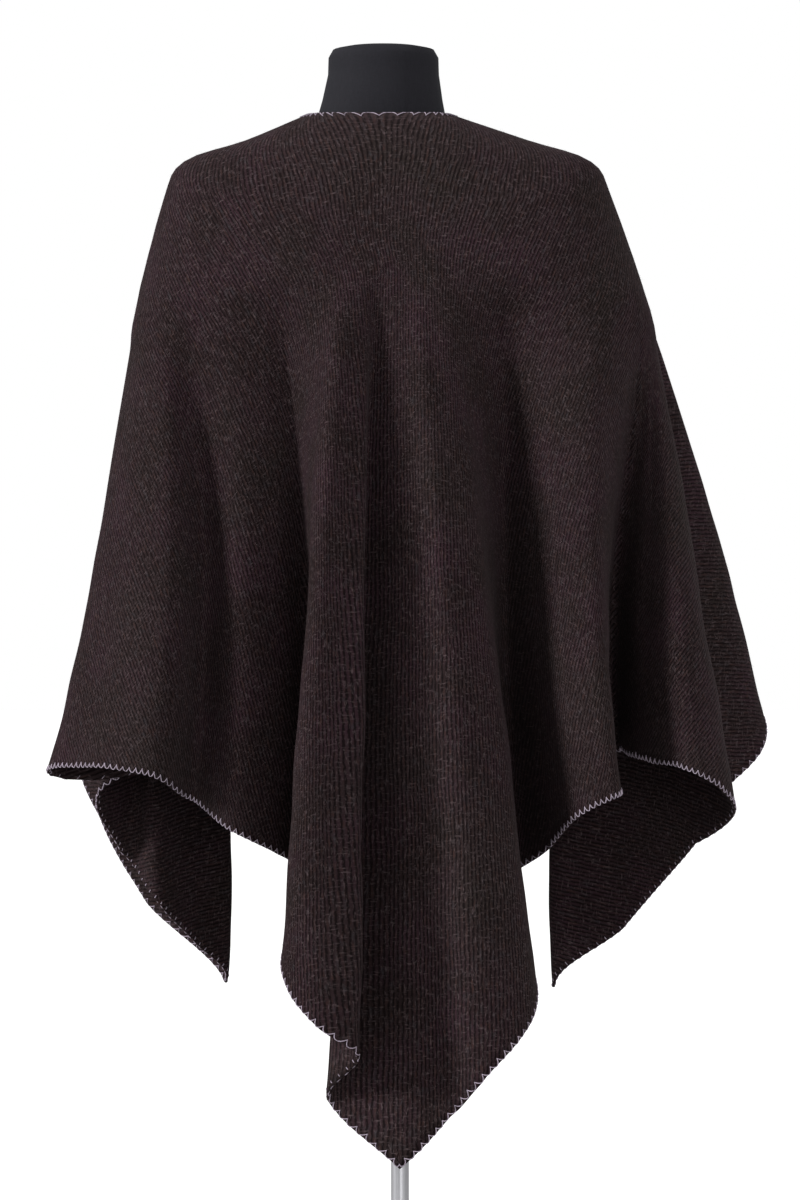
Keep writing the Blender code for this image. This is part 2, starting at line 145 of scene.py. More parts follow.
# Rings that the cloth lies on, from the neck edge out to where it starts to hang. Depths run
# from the form's middle to the back and to the front, and middle is where that is across.
YokeRing = namedtuple(
    "YokeRing", "name middle half_width back front z_side z_back z_front roundness")
YOKE_RINGS = (
    YokeRing("neck edge", -0.021, 0.0725, 0.070, 0.116, 1.428, 1.423, 1.312, 2.0),
    YokeRing("mid shoulder", -0.013, 0.142, 0.103, 0.123, 1.402, 1.381, 1.285, 2.1),
    YokeRing("shoulder tip", -0.0125, 0.203, 0.122, 0.129, 1.381, 1.330, 1.256, 2.3),
    YokeRing("below shoulder", -0.012, 0.223, 0.131, 0.135, 1.343, 1.298, 1.222, 2.6),
    YokeRing("upper arm", -0.007, 0.255, 0.138, 0.142, 1.232, 1.262, 1.186, 3.2),
)
NECK_FRONT_POWER = 0.9

# Places where the hem turns, a table for each side of the square. Each row is a name, the distance
# along that side from its first corner, and the place in plan.
BACK_CORNER_TO_RIGHT = (
    ("back corner", 0.000, 0.000, -0.213),
    ("drape crest", 0.068, 0.047, -0.216),
    ("drape face", 0.112, 0.076, -0.256),
    ("drape right face", 0.178, 0.116, -0.242),
    ("drape right edge", 0.234, 0.130, -0.208),
    ("drape right return", 0.325, 0.119, -0.130),
    ("first valley", 0.430, 0.108, -0.066),
    ("first valley far side", 0.470, 0.121, -0.056),
    ("first ridge flank", 0.515, 0.147, -0.125),
    ("first ridge crest", 0.600, 0.172, -0.205),
    ("first ridge edge", 0.680, 0.207, -0.222),
    ("first ridge return", 0.760, 0.208, -0.150),
    ("second valley", 0.830, 0.205, -0.058),
    ("second valley far side", 0.845, 0.218, -0.052),
    ("second ridge flank", 0.930, 0.233, -0.125),
    ("second ridge crest", 1.035, 0.270, -0.198),
    ("second ridge face", 1.120, 0.310, -0.180),
    ("second ridge edge", 1.178, 0.322, -0.120),
    ("side valley mouth", 1.240, 0.290, -0.055),
    ("side valley wall", 1.390, 0.222, 0.000),
)
RIGHT_CORNER_TO_FRONT = (
    ("right corner", 0.000, 0.155, 0.050),
    ("side valley wall", 0.120, 0.215, 0.105),
    ("side valley mouth", 0.240, 0.300, 0.160),
    ("third ridge edge", 0.350, 0.384, 0.205),
    ("third ridge face", 0.455, 0.365, 0.275),
    ("third ridge return", 0.560, 0.300, 0.250),
    ("third valley", 0.650, 0.268, 0.168),
    ("third valley far side", 0.670, 0.254, 0.172),
    ("fourth ridge flank", 0.760, 0.235, 0.235),
    ("fourth ridge crest", 0.860, 0.200, 0.300),
    ("fourth ridge return", 0.950, 0.155, 0.245),
    ("fourth valley", 1.030, 0.134, 0.168),
    ("fourth valley far side", 1.045, 0.121, 0.166),
    ("front drape return", 1.120, 0.112, 0.230),
    ("front drape right edge", 1.200, 0.100, 0.285),
    ("front drape face", 1.340, 0.045, 0.290),
)
FRONT_CORNER_TO_LEFT = (
    ("front corner", 0.000, 0.005, 0.220),
    ("front drape dip", 0.110, -0.040, 0.205),
    ("front drape left ridge", 0.220, -0.070, 0.285),
    ("front drape left edge", 0.300, -0.105, 0.270),
    ("front drape left return", 0.370, -0.098, 0.195),
    ("fifth valley", 0.445, -0.099, 0.130),
    ("fifth valley far side", 0.460, -0.114, 0.125),
    ("fifth ridge flank", 0.570, -0.172, 0.215),
    ("fifth ridge crest", 0.670, -0.205, 0.300),
    ("fifth ridge return", 0.770, -0.235, 0.252),
    ("sixth valley", 0.850, -0.240, 0.192),
    ("sixth valley far side", 0.868, -0.254, 0.188),
    ("sixth ridge flank", 0.950, -0.282, 0.240),
    ("sixth ridge crest", 1.050, -0.322, 0.282),
    ("sixth ridge edge", 1.155, -0.342, 0.235),
    ("side valley mouth", 1.252, -0.314, 0.180),
    ("side valley wall", 1.392, -0.262, 0.155),
)
LEFT_CORNER_TO_BACK = (
    ("left corner", 0.000, -0.178, 0.080),
    ("inner pleat face", 0.075, -0.207, 0.048),
    ("inner pleat edge", 0.150, -0.240, 0.000),
    ("inner pleat return", 0.203, -0.262, 0.018),
    ("inner pleat bottom", 0.238, -0.279, 0.012),
    ("side valley mouth", 0.335, -0.298, -0.040),
    ("left tuck", 0.425, -0.229, -0.053),
    ("left tuck far side", 0.440, -0.227, -0.067),
    ("left ridge edge", 0.495, -0.341, -0.092),
    ("left band", 0.640, -0.295, -0.150),
    ("left band crest", 0.745, -0.234, -0.176),
    ("seventh valley", 0.820, -0.202, -0.100),
    ("left panel swell", 0.910, -0.165, -0.145),
    ("left panel", 0.985, -0.119, -0.122),
    ("eighth valley", 1.035, -0.094, -0.092),
    ("eighth valley far side", 1.050, -0.082, -0.098),
    ("drape left return", 1.120, -0.094, -0.165),
    ("drape left edge", 1.205, -0.112, -0.235),
    ("drape left corner", 1.262, -0.102, -0.254),
    ("pleat face", 1.310, -0.075, -0.264),
    ("pleat edge", 1.350, -0.039, -0.250),
    ("pleat underfold", 1.412, -0.068, -0.185),
)
# Places where the hanging cloth stands out part of the way down, each over a reach of the hem.
# run is the distance round the whole hem from the back corner, height the share of the hanging
# length where it stands out most.
Swell = namedtuple("Swell", "name run reach x y height")
SWELLS = (
    Swell("right valley", 1.500, 0.130, -0.027, 0.000, 0.55),
    Swell("right side", 1.800, 0.320, 0.007, 0.005, 0.40),
    Swell("left valley", 4.500, 0.130, 0.028, 0.000, 0.55),
    Swell("left side", 4.960, 0.360, 0.011, 0.002, 0.45),
    Swell("drape left ridge", 5.755, 0.080, 0.000, -0.020, 0.50),
    Swell("drape valley", 5.918, 0.105, 0.000, 0.028, 0.52),
    Swell("drape right ridge", 0.085, 0.100, 0.000, -0.012, 0.50),
)
HEM_SIDES = (BACK_CORNER_TO_RIGHT, RIGHT_CORNER_TO_FRONT, FRONT_CORNER_TO_LEFT, LEFT_CORNER_TO_BACK)


def catmull_rom(before, start, end, after, share):
    """The point a share of the way from start to end on the smooth curve through all four."""
    along = (end - before) * share
    bend = (2 * before - 5 * start + 4 * end - after) * share**2
    twist = (3 * start - before - 3 * end + after) * share**3
    return start + 0.5 * (along + bend + twist)


def open_curve(points, steps):
    """Points of the smooth open curve through all of points, each a row of places."""
    first = 2 * points[0] - points[1]
    last = 2 * points[-1] - points[-2]
    full = [first, *points, last]
    curve = []
    for index in range(len(points) - 1):
        curve.extend(catmull_rom(*full[index:index + 4], step / steps) for step in range(steps))
    return np.array([*curve, points[-1]])


def oval_radius(angle, half_width, back, front, roundness):
    """Radius of an oval at an angle from the back (-Y) round by the right (+X)."""
    depth = np.where(np.cos(angle) > 0, back, front)
    across = (np.abs(np.sin(angle)) / half_width) ** roundness
    along = (np.abs(np.cos(angle)) / depth) ** roundness
    return (across + along) ** (-1 / roundness)


def hem_turns():
    """Every hem turn's run round the whole hem, which is 0 at the back corner, and its place."""
    runs = []
    places = []
    for side, turns in enumerate(HEM_SIDES):
        for _, run, x, y in turns:
            runs.append(side * CLOTH_SIDE + run)
            places.append((x, y))
    return np.array(runs), np.array(places)


def hem_place(run):
    """Place in plan on the smooth curve through every hem turn, at runs round the hem."""
    runs, places = hem_turns()
    stretches = np.diff(np.append(runs, 4 * CLOTH_SIDE))
    run = run % (4 * CLOTH_SIDE)
    index = np.searchsorted(runs, run, side="right") - 1
    share = ((run - runs[index]) / stretches[index])[:, None]
    around = [places[(index + offset) % len(places)] for offset in (-1, 0, 1, 2)]
    return catmull_rom(*around, share)


def flat_hem(run):
    """Place on the cut square's edge at a run round it, with the back corner at -Y."""
    side = np.floor(run / CLOTH_SIDE).astype(int) % 4
    across = run % CLOTH_SIDE - HALF_SIDE
    turned = math.pi / 4 + side * math.pi / 2
    x = HALF_SIDE * np.sin(turned) + across * np.cos(turned)
    y = across * np.sin(turned) - HALF_SIDE * np.cos(turned)
    return np.stack([x, y], axis=1)


def run_at(angle):
    """Run round the hem of the spoke that leaves the middle of the cut square at an angle."""
    angle = angle % (2 * math.pi)
    side = np.floor(angle / (math.pi / 2))
    across = HALF_SIDE * np.tan(angle - math.pi / 4 - side * math.pi / 2)
    return side * CLOTH_SIDE + HALF_SIDE + across


def shoulder_draw(share):
    """How strongly folds are drawn towards the shoulders at a share of the hanging length."""
    return SHOULDER_DRAW * (1 - share) ** SHOULDER_DRAW_POWER


def cloth_angle(fold, draw):
    """Angle in the cut cloth of the spoke that meets a fold where it is drawn this strongly."""
    return fold + draw * np.sin(2 * fold)


def fold_angle(angle, draw):
    """The fold that a spoke of the cloth meets: cloth_angle turned round by Newton's method."""
    found = angle
    for _ in range(25):
        missed = cloth_angle(found, draw) - angle
        found = found - missed / (1 + 2 * draw * np.cos(2 * found))
    return found


def hole_roundness(angle):
    """The neck hole is a shallow curve behind and a soft V in front."""
    return np.where(np.cos(angle) > 0, HOLE_BACK_ROUNDNESS, HOLE_FRONT_ROUNDNESS)


def flat_hole(angle):
    """Place on the neck hole's edge in the cut square at angles from the back."""
    radius = oval_radius(
        angle, HOLE_HALF_WIDTH, HOLE_BACK_DEPTH, HOLE_FRONT_DEPTH, hole_roundness(angle))
    return np.stack([radius * np.sin(angle) + HOLE_MIDDLE, -radius * np.cos(angle)], axis=1)


def neck_slope(ring, angle):
    """Power of the rise from the middle to the side, which is less in front of the neck."""
    return np.where((np.cos(angle) < 0) & (ring is YOKE_RINGS[0]), NECK_FRONT_POWER, 2.0)


def yoke_ring(ring, angle):
    """Places on one yoke ring at angles from the back."""
    roundness = hole_roundness(angle) if ring is YOKE_RINGS[0] else ring.roundness
    radius = oval_radius(angle, ring.half_width, ring.back, ring.front, roundness)
    x = radius * np.sin(angle)
    y = -radius * np.cos(angle)
    sideways = (np.abs(x) / ring.half_width) ** neck_slope(ring, angle)
    z_middle = np.where(np.cos(angle) > 0, ring.z_back, ring.z_front)
    z = z_middle + (ring.z_side - z_middle) * sideways
    return np.stack([x + ring.middle, y, z], axis=1)


def swell_places(runs, share):
    """How far each spoke stands out in plan at a share of its hanging length."""
    out = np.zeros((len(runs), 2))
    for swell in SWELLS:
        apart = np.abs((runs - swell.run + HALF_HEM) % (2 * HALF_HEM) - HALF_HEM)
        apart = np.clip(apart / swell.reach, 0, 1)
        early = share ** (math.log(0.5) / math.log(swell.height))
        strength = np.cos(apart * math.pi / 2) ** 2 * 4 * early * (1 - early)
        out += np.outer(strength, (swell.x, swell.y))
    return out


def hanging_places(angle, share):
    """Places in plan of spokes of the cloth at a share of their hanging length.

    Folds grow a little faster near their top, and faster in depth than across.
    """
    fold = fold_angle(angle, shoulder_draw(share))
    lowest = YOKE_RINGS[-1]
    sideways = hem_place(run_at(fold)) - yoke_ring(lowest, fold)[:, :2]
    grown = share * (1 + EARLY_SPREAD * (1 - share))
    return yoke_ring(lowest, angle)[:, :2] + sideways * grown + swell_places(run_at(fold), share)


def hanging_length(angle):
    """Length that is left of each spoke of the cut cloth below the yoke."""
    spoke = np.linalg.norm(flat_hem(run_at(angle)) - flat_hole(angle), axis=1)
    return spoke - yoke_lengths(angle)[-1]


def hanging_row(angle, share):
    """Points on spokes of the cloth at a share of their hanging length, which none stretches."""
    z = yoke_ring(YOKE_RINGS[-1], angle)[:, 2]
    step = hanging_length(angle) * share / SPOKE_STEPS
    places = hanging_places(angle, 0.0)
    for number in range(1, SPOKE_STEPS + 1):
        before = places
        places = hanging_places(angle, share * number / SPOKE_STEPS)
        across = ((places - before) ** 2).sum(axis=1)
        z = z - np.sqrt(np.maximum(step**2 - across, (LEAST_FALL * step) ** 2))
    return np.column_stack([places, z])


def cut_places(angle, along):
    """Places in the flat cut that lie this far along the spokes at these angles."""
    start = flat_hole(angle)
    spoke = flat_hem(run_at(angle)) - start
    return start + spoke / np.linalg.norm(spoke, axis=1, keepdims=True) * along[:, None]


def yoke_lengths(angle):
    """How far along each spoke of the cut every yoke ring lies."""
    rings = np.array([yoke_ring(ring, angle) for ring in YOKE_RINGS])
    steps = np.linalg.norm(np.diff(rings, axis=0), axis=2)
    return np.concatenate([np.zeros((1, len(angle))), np.cumsum(steps, axis=0)])


def hem_columns(spacing):
    """Runs round the hem where columns of the cloth end, closest where the hem turns sharply."""
    turns = hem_turns()[0]
    columns = []
    for run, stretch in zip(turns, np.diff(np.append(turns, 4 * CLOTH_SIDE))):
        count = max(COLUMNS_AT_A_TURN, round(stretch / spacing))
        columns.extend(run + stretch * np.arange(count) / count)
    return np.array(columns)


def cloth_rows(spacing, yoke_steps, hang_steps):
    """The cloth's middle surface from the neck edge to the hem, and its place in the cut.

    Each column runs down one fold line. It starts nearer a shoulder than it ends.
    """
    hem_cut = flat_hem(hem_columns(spacing))
    fold = np.arctan2(hem_cut[:, 0], -hem_cut[:, 1])
    last = len(YOKE_RINGS) - 1
    surface = []
    cut = []
    for number, ring in enumerate(YOKE_RINGS):
        angle = cloth_angle(fold, SHOULDER_DRAW * number / last)
        surface.append(yoke_ring(ring, angle))
        cut.append(cut_places(angle, yoke_lengths(angle)[number]))
    for share in np.linspace(FIRST_SHARE, 1, hang_steps + 1):
        angle = cloth_angle(fold, shoulder_draw(share))
        surface.append(hanging_row(angle, share))
        cut.append(cut_places(angle, yoke_lengths(angle)[last] + hanging_length(angle) * share))
    top = last + 2
    rows = np.array([*open_curve(np.array(surface[:top]), yoke_steps), *surface[top:]])
    return rows, np.array([*open_curve(np.array(cut[:top]), yoke_steps), *cut[top:]])


def row_normals(rows):
    """Outward unit normals of a grid of rows that close on themselves."""
    round_it = np.roll(rows, -1, axis=1) - np.roll(rows, 1, axis=1)
    normals = np.cross(np.gradient(rows, axis=0), round_it)
    return normals / np.linalg.norm(normals, axis=2, keepdims=True)


def soft_creases(rows, cut, depth):
    """Moves the hanging cloth in and out a little, as brushed wool keeps shallow creases."""
    normals = row_normals(rows)
    hanging = np.clip((CREASE_TOP - rows[:, :, 2]) / CREASE_REACH, 0, 1)
    moved = rows.copy()
    for place in np.ndindex(rows.shape[:2]):
        x, y = cut[place]
        wide = noise.noise(Vector((x, y, 0.0)) * WIDE_CREASES)
        narrow = noise.noise(Vector((x, y, 3.0)) * NARROW_CREASES)
        moved[place] += normals[place] * hanging[place] * depth * (wide + NARROW_SHARE * narrow)
    return moved


def grid_faces(first, second, count):
    """Quads between two closed rows of count points that start at these point numbers."""
    return [(first + column, first + (column + 1) % count,
             second + (column + 1) % count, second + column) for column in range(count)]


def layer_faces(row_count, count):
    """Quads of one layer of the cloth, row by row."""
    faces = []
    for row in range(row_count - 1):
        faces.extend(grid_faces(row * count, (row + 1) * count, count))
    return faces


def clear_old(collection, name):
    """Removes what an earlier run of the same step made."""
    old = collection.get(name)
    if old is not None:
        collection.remove(old)


def new_piece(name, points, faces, material):
    """A smooth mesh object that stands in the scene with its material."""
    clear_old(bpy.data.objects, name)
    mesh = bpy.data.meshes.new(name)
    mesh.from_pydata([tuple(point) for point in points], [], faces)
    mesh.update()
    mesh.shade_smooth()
    mesh.materials.append(material)
    piece = bpy.data.objects.new(name, mesh)
    bpy.context.scene.collection.objects.link(piece)
    return piece


def eased_map(rows, cut):
    """The cut's places, drawn as wide as the draped rows where the neck edge stretches them."""
    back = cut[-1, :, 1] < 0
    draped = np.linalg.norm(np.roll(rows, -1, axis=1) - rows, axis=2)[:, back].sum(axis=1)
    flat = np.linalg.norm(np.roll(cut, -1, axis=1) - cut, axis=2)[:, back].sum(axis=1)
    wider = np.clip(draped / flat, 1, None)
    return np.stack([cut[:, :, 0] * wider[:, None], cut[:, :, 1]], axis=2)


def map_to_cut(piece, cut_of_point):
    """Gives every face corner its place in the flat cut, in metres, as its map."""
    layer = piece.data.uv_layers.new(name="cut")
    corners = np.zeros(len(piece.data.loops), int)
    piece.data.loops.foreach_get("vertex_index", corners)
    layer.data.foreach_set("uv", cut_of_point[corners].ravel())


class FlatCut:
    """Finds the draped place of any point of the flat cut."""

    def __init__(self, rows, cut):
        self.points = [Vector(point) for point in rows.reshape(-1, 3)]
        self.normals = [Vector(normal) for normal in row_normals(rows).reshape(-1, 3)]
        self.flat = [Vector((x, y, 0.0)) for x, y in cut.reshape(-1, 2)]
        self.faces = layer_faces(*rows.shape[:2])
        self.tree = BVHTree.FromPolygons(self.flat, self.faces)

    def draped(self, place):
        """The draped point and outward normal of a place in the cut."""
        nearest, _, index, _ = self.tree.find_nearest(Vector((place[0], place[1], 0.0)))
        face = self.faces[index]
        weights = poly_3d_calc([self.flat[corner] for corner in face], nearest)
        point = Vector()
        normal = Vector()
        for corner, weight in zip(face, weights):
            point += self.points[corner] * weight
            normal += self.normals[corner] * weight
        return point, normal.normalized()

    def off_edge(self, edge, inward, depth, height):
        """A point this deep in from an edge of the cut, or past it where depth is below zero."""
        reached = max(depth, EDGE_NEARNESS)
        point, normal = self.draped(edge + inward * reached)
        if depth < reached:
            inner, _ = self.draped(edge + inward * (reached + EDGE_REACH))
            point += (point - inner).normalized() * (reached - depth)
        return point + normal * height


def add_loop(points, faces, path, radius, sides):
    """Adds a closed loop of yarn of this radius along a path to a piece's points and faces."""
    first = len(points)
    line = [Vector(point) for point in path]
    across = (line[1] - line[-1]).normalized().orthogonal()
    for index, point in enumerate(line):
        following = (index + 1) % len(line)
        along = (line[following] - line[index - 1]).normalized()
        across = (across - along * across.dot(along)).normalized()
        beside = along.cross(across)
        for side in range(sides):
            turn = 2 * math.pi * side / sides
            points.append(point + (across * math.cos(turn) + beside * math.sin(turn)) * radius)
        faces.extend(grid_faces(first + index * sides, first + following * sides, sides))


def hem_stations(pitch):
    """Edge place and inward direction of every stitch of the hem, with one at each corner."""
    stations = []
    for side in range(4):
        count = round(CLOTH_SIDE / pitch)
        for number in range(count):
            run = side * CLOTH_SIDE + CLOTH_SIDE * number / count
            edge = flat_hem(np.array([run]))[0]
            turned = math.pi / 4 + side * math.pi / 2
            inward = np.array([-math.sin(turned), math.cos(turned)])
            if number == 0:
                inward = -edge / np.linalg.norm(edge)
            stations.append((edge, inward))
    return stations


def neck_stations(pitch):
    """Edge place and direction away from the hole of every stitch of the neck edge."""
    angle = np.linspace(0, 2 * math.pi, NECK_SAMPLES + 1)
    edge = flat_hole(angle)
    length = np.concatenate([[0], np.cumsum(np.linalg.norm(np.diff(edge, axis=0), axis=1))])
    count = round(length[-1] / pitch)
    at = length[-1] * np.arange(count) / count
    places = np.column_stack([np.interp(at, length, edge[:, axis]) for axis in (0, 1)])
    tangent = np.roll(places, -1, axis=0) - np.roll(places, 1, axis=0)
    outward = np.column_stack([tangent[:, 1], -tangent[:, 0]])
    return list(zip(places, outward / np.linalg.norm(outward, axis=1, keepdims=True)))


def sew_edge(name, stations, settings, flat_cut, yarn):
    """One blanket stitched edge: a yarn that hangs in scallops from stitch to stitch."""
    chance = random.Random(name)
    points = []
    faces = []
    edge_yarn = []
    radius = settings.yarn / 2
    lift = CLOTH_THICKNESS / 2 + radius * STITCH_LIFT
    bites = [settings.bite * chance.uniform(*BITE_SPREAD) for _ in stations]
    for index, (edge, inward) in enumerate(stations):
        following, next_inward = stations[(index + 1) % len(stations)]
        bite, next_bite = bites[index], bites[(index + 1) % len(stations)]
        loop = [flat_cut.off_edge(edge, inward, bite * share, lift * height)
                for share, height in STITCH_PATH]
        add_loop(points, faces, loop, radius * STITCH_YARN, YARN_SIDES)
        slack = settings.scallop * chance.uniform(*SLACK_SPREAD)
        for step in range(EDGE_YARN_STEPS):
            share = step / EDGE_YARN_STEPS
            direction = inward + (next_inward - inward) * share
            direction = direction / np.linalg.norm(direction)
            held = (bite + (next_bite - bite) * share) * abs(2 * share - 1) ** SCALLOP_POWER
            depth = held - slack * math.sin(math.pi * share)
            height = lift if depth > 0 else lift / 2
            place = edge + (following - edge) * share
            edge_yarn.append(flat_cut.off_edge(place, direction, depth, height))
    add_loop(points, faces, edge_yarn, radius, YARN_SIDES + 1)
    return new_piece(name, points, faces, yarn)


def in_hole(place):
    """Whether a place in the flat cut lies inside the neck hole or on its very edge."""
    edge = flat_hole(np.array([math.atan2(place[0], -place[1])]))[0]
    return math.hypot(*place) < math.hypot(*edge) + EDGE_CLEARANCE


def raise_hairs(settings, flat_cut):
    """Loose fibres that stand off both faces of the brushed wool, each one thin triangle."""
    chance = random.Random(HAIR_SEED)
    reach = HALF_SIDE * math.sqrt(2)
    points = []
    faces = []
    places = []
    while len(faces) < settings.count:
        place = np.array([chance.uniform(-reach, reach), chance.uniform(-reach, reach)])
        if abs(place[0]) + abs(place[1]) > reach - EDGE_CLEARANCE or in_hole(place):
            continue
        root, normal = flat_cut.draped(place)
        side = -1 if chance.random() < settings.inner_share else 1
        lie = Vector((chance.gauss(0, HAIR_BEND), chance.gauss(0, HAIR_BEND), -1.0))
        lie = (lie - normal * lie.dot(normal)).normalized()
        lift = chance.uniform(*HAIR_LIFT)
        length = settings.length * chance.uniform(*HAIR_LENGTHS)
        root = root + normal * side * CLOTH_THICKNESS * 0.5
        tip = root + (lie + normal * side * lift).normalized() * length
        across = lie.cross(normal).normalized() * settings.width / 2
        first = len(points)
        points.extend((root - across, root + across, tip))
        faces.append((first, first + 1, first + 2))
        places.extend([place] * 3)
    piece = new_piece("wool_hairs", points, faces, hair_material(settings))
    map_to_cut(piece, np.array(places))
    return piece


class ShaderTree:
    """Short ways to place and join the nodes of a material or a node group."""

    def __init__(self, tree):
        self.tree = tree

    def add(self, kind, inputs=None, **settings):
        """A node with its settings, and its inputs linked to sockets or set to values."""
        node = self.tree.nodes.new(kind)
        for key, value in settings.items():
            setattr(node, key, value)
        for key, value in (inputs or {}).items():
            if isinstance(value, bpy.types.NodeSocket):
                self.tree.links.new(value, node.inputs[key])
            else:
                node.inputs[key].default_value = value
        return node

    def math(self, operation, first, second=0.0):
        """The result of one sum on two values or sockets."""
        node = self.add("ShaderNodeMath", {0: first, 1: second}, operation=operation)
        return node.outputs[0]

    def mix(self, share, first, second):
        """A colour between two colours or sockets."""
        node = self.add("ShaderNodeMix", {0: share, 6: first, 7: second}, data_type="RGBA")
        return node.outputs[2]

    def mask(self, value, low, high, most=1.0, least=0.0):
        """A mask that goes from least to most as a value goes from low to high."""
        node = self.add("ShaderNodeValToRGB", {0: value})
        for stop, place, shade in zip(node.color_ramp.elements, (low, high), (least, most)):
            stop.position = place
            stop.color = (shade, shade, shade, 1)
        return node.outputs[0]

    def join(self, socket, node, name):
        """Links a socket to a node's named input."""
        self.tree.links.new(socket, node.inputs[name])

    def relief(self, shader, height, strength, distance, **normal):
        """Small relief on a shader, as deep as distance where its height is 1."""
        node = self.add("ShaderNodeBump", {
            "Height": height, "Strength": strength, "Distance": distance, **normal})
        self.join(node.outputs[0], shader, "Normal")

    def spread(self, vector, scale, detail=2.0, roughness=0.5):
        """Soft noise over a place, with its scale in waves to a metre."""
        node = self.add("ShaderNodeTexNoise", {"Vector": vector, "Scale": scale, "Detail": detail,
                                               "Roughness": roughness})
        return node.outputs["Fac"]

    def scaled(self, vector, scale, turn=0.0):
        """A place stretched along its axes, then turned about Z."""
        node = self.add("ShaderNodeMapping", {"Vector": vector, "Scale": scale,
                                              "Rotation": (0.0, 0.0, turn)})
        return node.outputs[0]


def new_material(name):
    """An empty material, its shader tree and its Principled shader."""
    clear_old(bpy.data.materials, name)
    material = bpy.data.materials.new(name)
    material.use_nodes = True
    return material, ShaderTree(material.node_tree), material.node_tree.nodes["Principled BSDF"]


def new_group(name, per_metre, outputs):
    """A shared node group that takes a place and a scale: its tree, what is given and its end."""
    group = bpy.data.node_groups.new(name, "ShaderNodeTree")
    group.interface.new_socket("Place", in_out="INPUT", socket_type="NodeSocketVector")
    group.interface.new_socket(per_metre, in_out="INPUT", socket_type="NodeSocketFloat")
    for output in outputs:
        group.interface.new_socket(output, in_out="OUTPUT", socket_type="NodeSocketFloat")
    tree = ShaderTree(group)
    return tree, tree.add("NodeGroupInput").outputs, tree.add("NodeGroupOutput")


def use_group(tree, group, place, per_metre):
    """A shared node group in a material, with its own place and scale."""
    node = tree.add("ShaderNodeGroup", node_tree=group)
    tree.join(place, node, 0)
    node.inputs[1].default_value = per_metre
    return node.outputs


def fibre_group():
    """Loose fibres seen from near: a mask of pale fibre ends and a height, for wool and yarn."""
    found = bpy.data.node_groups.get("Loose fibres")
    if found is not None:
        return found
    tree, given, result = new_group("Loose fibres", "Fibres per metre", ("Ends", "Height"))
    along = tree.scaled(given["Place"], (1.0, 0.22, 1.0), math.radians(8))
    bent = tree.scaled(given["Place"], (0.25, 1.0, 1.0), math.radians(-34))
    fine = tree.spread(along, given["Fibres per metre"], 3.0, 0.7)
    crossing = tree.spread(bent, given["Fibres per metre"], 3.0, 0.7)
    both = tree.math("MAXIMUM", fine, crossing)
    ends = tree.mask(both, 0.56, 0.70)
    tree.join(ends, result, "Ends")
    tree.join(both, result, "Height")
    return tree.tree


def set_values(shader, values):
    """Sets plain values on a shader, by the names of its inputs."""
    for name, value in values.items():
        shader.inputs[name].default_value = value


def rgba(colour, factor=1.0):
    """A colour with full alpha, made lighter or darker by a factor."""
    return (colour[0] * factor, colour[1] * factor, colour[2] * factor, 1.0)


def wool_material(settings):
    """Brushed twill of mixed dark yarns. The twill line runs from corner to corner of the cut."""
    material, tree, shader = new_material("Brushed wool twill")
    cut = tree.add("ShaderNodeUVMap", uv_map="cut").outputs[0]
    # The twill line wanders sideways a little, and is broken up along each yarn
    wander = tree.math("MULTIPLY", tree.spread(cut, 38.0), 0.0032)
    sideways = tree.add("ShaderNodeCombineXYZ", {0: wander}).outputs[0]
    shifted = tree.add("ShaderNodeVectorMath", {0: cut, 1: sideways}, operation="ADD").outputs[0]
    twill = tree.add("ShaderNodeTexWave", {
        "Vector": shifted, "Scale": math.pi / 10 / settings.twill, "Distortion": 1.6, "Detail": 2.0,
        "Detail Scale": 3.0}, wave_type="BANDS", bands_direction="X").outputs["Fac"]
    broken = tree.spread(tree.scaled(cut, (1.0, 0.20, 1.0)), 560.0, 2.0, 0.6)
    line = tree.math("MULTIPLY", twill, tree.math("MULTIPLY", broken, 1.9))
    # Yarns of other colours, in patches and in short runs
    warp = tree.spread(tree.scaled(cut, (1.0, 0.30, 1.0)), 260.0, 3.0, 0.6)
    weft = tree.spread(tree.scaled(cut, (1.0, 0.35, 1.0)), 230.0, 3.0, 0.6)
    patch = tree.spread(cut, 16.0, 3.0, 0.55)
    cloud = tree.spread(cut, 5.0, 2.0, 0.5)
    ground = tree.mix(tree.mask(patch, 0.38, 0.62), rgba(settings.ground), rgba(settings.plum))
    ground = tree.mix(tree.mask(cloud, 0.46, 0.68, 0.6), ground, rgba(settings.olive))
    mixed = tree.mix(tree.mask(warp, 0.52, 0.70, 0.9), ground, rgba(settings.rust))
    mixed = tree.mix(tree.mask(weft, 0.54, 0.72, 0.8), mixed, rgba(settings.slate))
    dark = tree.mix(tree.mask(line, 0.14, 0.60, 0, 0.86), mixed, rgba(settings.ground, 0.25))
    fibres = use_group(tree, fibre_group(), cut, settings.fibres)
    tone = tree.mix(tree.math("MULTIPLY", fibres["Ends"], settings.fibre_share),
                    dark, rgba(settings.pale))
    tree.join(tone, shader, "Base Color")
    set_values(shader, {
        "Roughness": 0.93, "Specular IOR Level": 0.04, "Sheen Weight": 0.03,
        "Sheen Roughness": 0.5, "Sheen Tint": (0.60, 0.46, 0.48, 1.0)})
    height = tree.math("ADD", tree.math("MULTIPLY", line, 0.5),
                       tree.math("MULTIPLY", fibres["Height"], 0.8))
    height = tree.math("ADD", height, tree.math("MULTIPLY", patch, 0.6))
    tree.relief(shader, height, strength=0.55, distance=0.0012)
    return material


